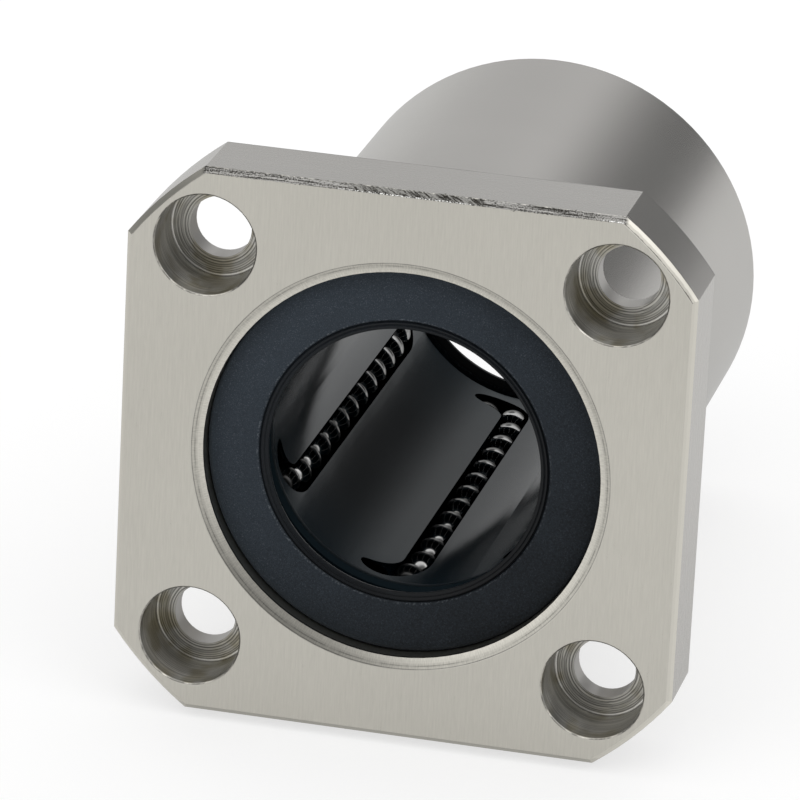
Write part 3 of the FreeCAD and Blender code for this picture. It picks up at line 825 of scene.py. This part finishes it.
def lay_floor(scene, settings):
    """A paper floor that touches the flange's lower edge and the sleeve's rear rim."""
    near = Vector((0.0, -BACK_CHAMFER, -FLANGE_HALF)) * MM
    far = Vector((0.0, REAR - SLEEVE_CHAMFER, -SLEEVE_RADIUS)) * MM
    across = Vector((1, 0, 0))
    along = (far - near).normalized()
    middle = near - along.cross(across) * FLOOR_GAP * MM
    signs = ((-1, -1), (1, -1), (1, 1), (-1, 1))
    corners = [middle + (across * sx + along * sy) * FLOOR_HALF_M for sx, sy in signs]
    mesh = bpy.data.meshes.new("paper_floor")
    mesh.from_pydata(corners, [], [(0, 1, 2, 3)])
    floor = bpy.data.objects.new("paper_floor", mesh)
    scene.collection.objects.link(floor)
    f = Finish("paper_finish")
    matt = f.add("ShaderNodeBsdfDiffuse", None, {"Color": (*settings.floor_colour, 1.0)})
    path = f.add("ShaderNodeLightPath").outputs
    seen = Value(f, path["Is Camera Ray"]) * settings.floor_glow
    seen = seen + Value(f, path["Is Glossy Ray"]) * settings.mirrored_glow
    glow = f.add("ShaderNodeEmission", None, {"Color": f.vector(seen, seen, seen), "Strength": 1.0})
    both = f.add("ShaderNodeAddShader", None, {0: matt.outputs[0], 1: glow.outputs[0]})
    f.add("ShaderNodeOutputMaterial", None, {"Surface": both.outputs[0]})
    mesh.materials.append(f.material)


def light_room(scene, settings):
    """Soft light all round, a softbox above and one at upper right; darker in front and in gaps behind."""
    world = bpy.data.worlds.new("soft_room")
    scene.world = world
    world.use_nodes = True
    w = Nodes(world.node_tree)
    way = w.add("ShaderNodeTexCoord").outputs["Generated"]
    height = w.parts(way)[2]

    def towards(direction, inner, outer):
        facing = w.value("ShaderNodeVectorMath", {"operation": "DOT_PRODUCT"},
                         {0: way, 1: Vector(direction).normalized()}, 1)
        return facing.rise(math.cos(math.radians(outer)), math.cos(math.radians(inner)))

    level = settings.sky + height.rise(OVERHEAD_FROM, OVERHEAD_TO) * settings.overhead
    for direction, inner, outer, share in DARK_PATCHES:
        level = level * (1 - towards(direction, inner, outer) * share)
    level = level + towards(*SIDE_LIGHT) * settings.side_light
    level = level + towards(*FILL_LIGHT) * settings.fill
    room = w.add("ShaderNodeBackground", None, {"Color": w.vector(level, level, level), "Strength": 1.0})
    white = w.add("ShaderNodeBackground", None, {"Color": (1.0, 1.0, 1.0, 1.0), "Strength": 1.0})
    seen = w.add("ShaderNodeLightPath").outputs["Is Camera Ray"]
    both = w.add("ShaderNodeMixShader", None, {0: seen, 1: room.outputs[0], 2: white.outputs[0]})
    w.add("ShaderNodeOutputWorld", None, {"Surface": both.outputs[0]})


def set_camera(scene):
    """Stands a long lens in front, to the right and above."""
    camera = bpy.data.objects.new("camera", bpy.data.cameras.new("camera"))
    scene.collection.objects.link(camera)
    right = Vector(CAMERA_RIGHT)
    back = right.cross(Vector(CAMERA_UP)).normalized()
    up = back.cross(right).normalized()
    right = up.cross(back)
    turn = Matrix((right, up, back)).transposed().to_4x4()
    camera.matrix_world = Matrix.Translation(CAMERA_PLACE) @ turn
    camera.data.sensor_width = CAMERA_SENSOR
    camera.data.lens = CAMERA_LENS
    camera.data.clip_start, camera.data.clip_end = CAMERA_REACH_M
    scene.camera = camera


class BEARING_PT_panel(bpy.types.Panel):
    """The bearing's pieces and their settings"""
    bl_idname = "BEARING_PT_panel"
    bl_label = "Flanged linear bearing"
    bl_space_type = "VIEW_3D"
    bl_region_type = "UI"
    bl_category = "Bearing"

    def draw(self, context):
        settings = context.scene.bearing
        for operator, group in STEPS:
            box = self.layout.box()
            box.operator(operator.bl_idname)
            part = getattr(settings, group)
            for name in part.__annotations__:
                box.prop(part, name)


STEPS = (
    (BEARING_OT_sleeve, "steel"),
    (BEARING_OT_torn_edge, "torn_edge"),
    (BEARING_OT_cage, "cage"),
    (BEARING_OT_seals, "seal"),
    (BEARING_OT_balls, "ball"),
    (BEARING_OT_rings, "ring"),
    (BEARING_OT_stage, "stage"),
)
SETTINGS = (SteelSettings, TornEdgeSettings, SealSettings, CageSettings, BallSettings, RingSettings,
            StageSettings, BearingSettings)
CLASSES = (*SETTINGS, *(operator for operator, group in STEPS), BEARING_PT_panel)


def register():
    for each in CLASSES:
        bpy.utils.register_class(each)
    bpy.types.Scene.bearing = PointerProperty(type=BearingSettings)


def unregister():
    del bpy.types.Scene.bearing
    for each in reversed(CLASSES):
        bpy.utils.unregister_class(each)


def main():
    register()
    bpy.ops.bearing.sleeve()
    bpy.ops.bearing.torn_edge()
    bpy.ops.bearing.cage()
    bpy.ops.bearing.seals()
    bpy.ops.bearing.balls()
    bpy.ops.bearing.rings()
    bpy.ops.bearing.stage()


if __name__ == "__main__":
    main()
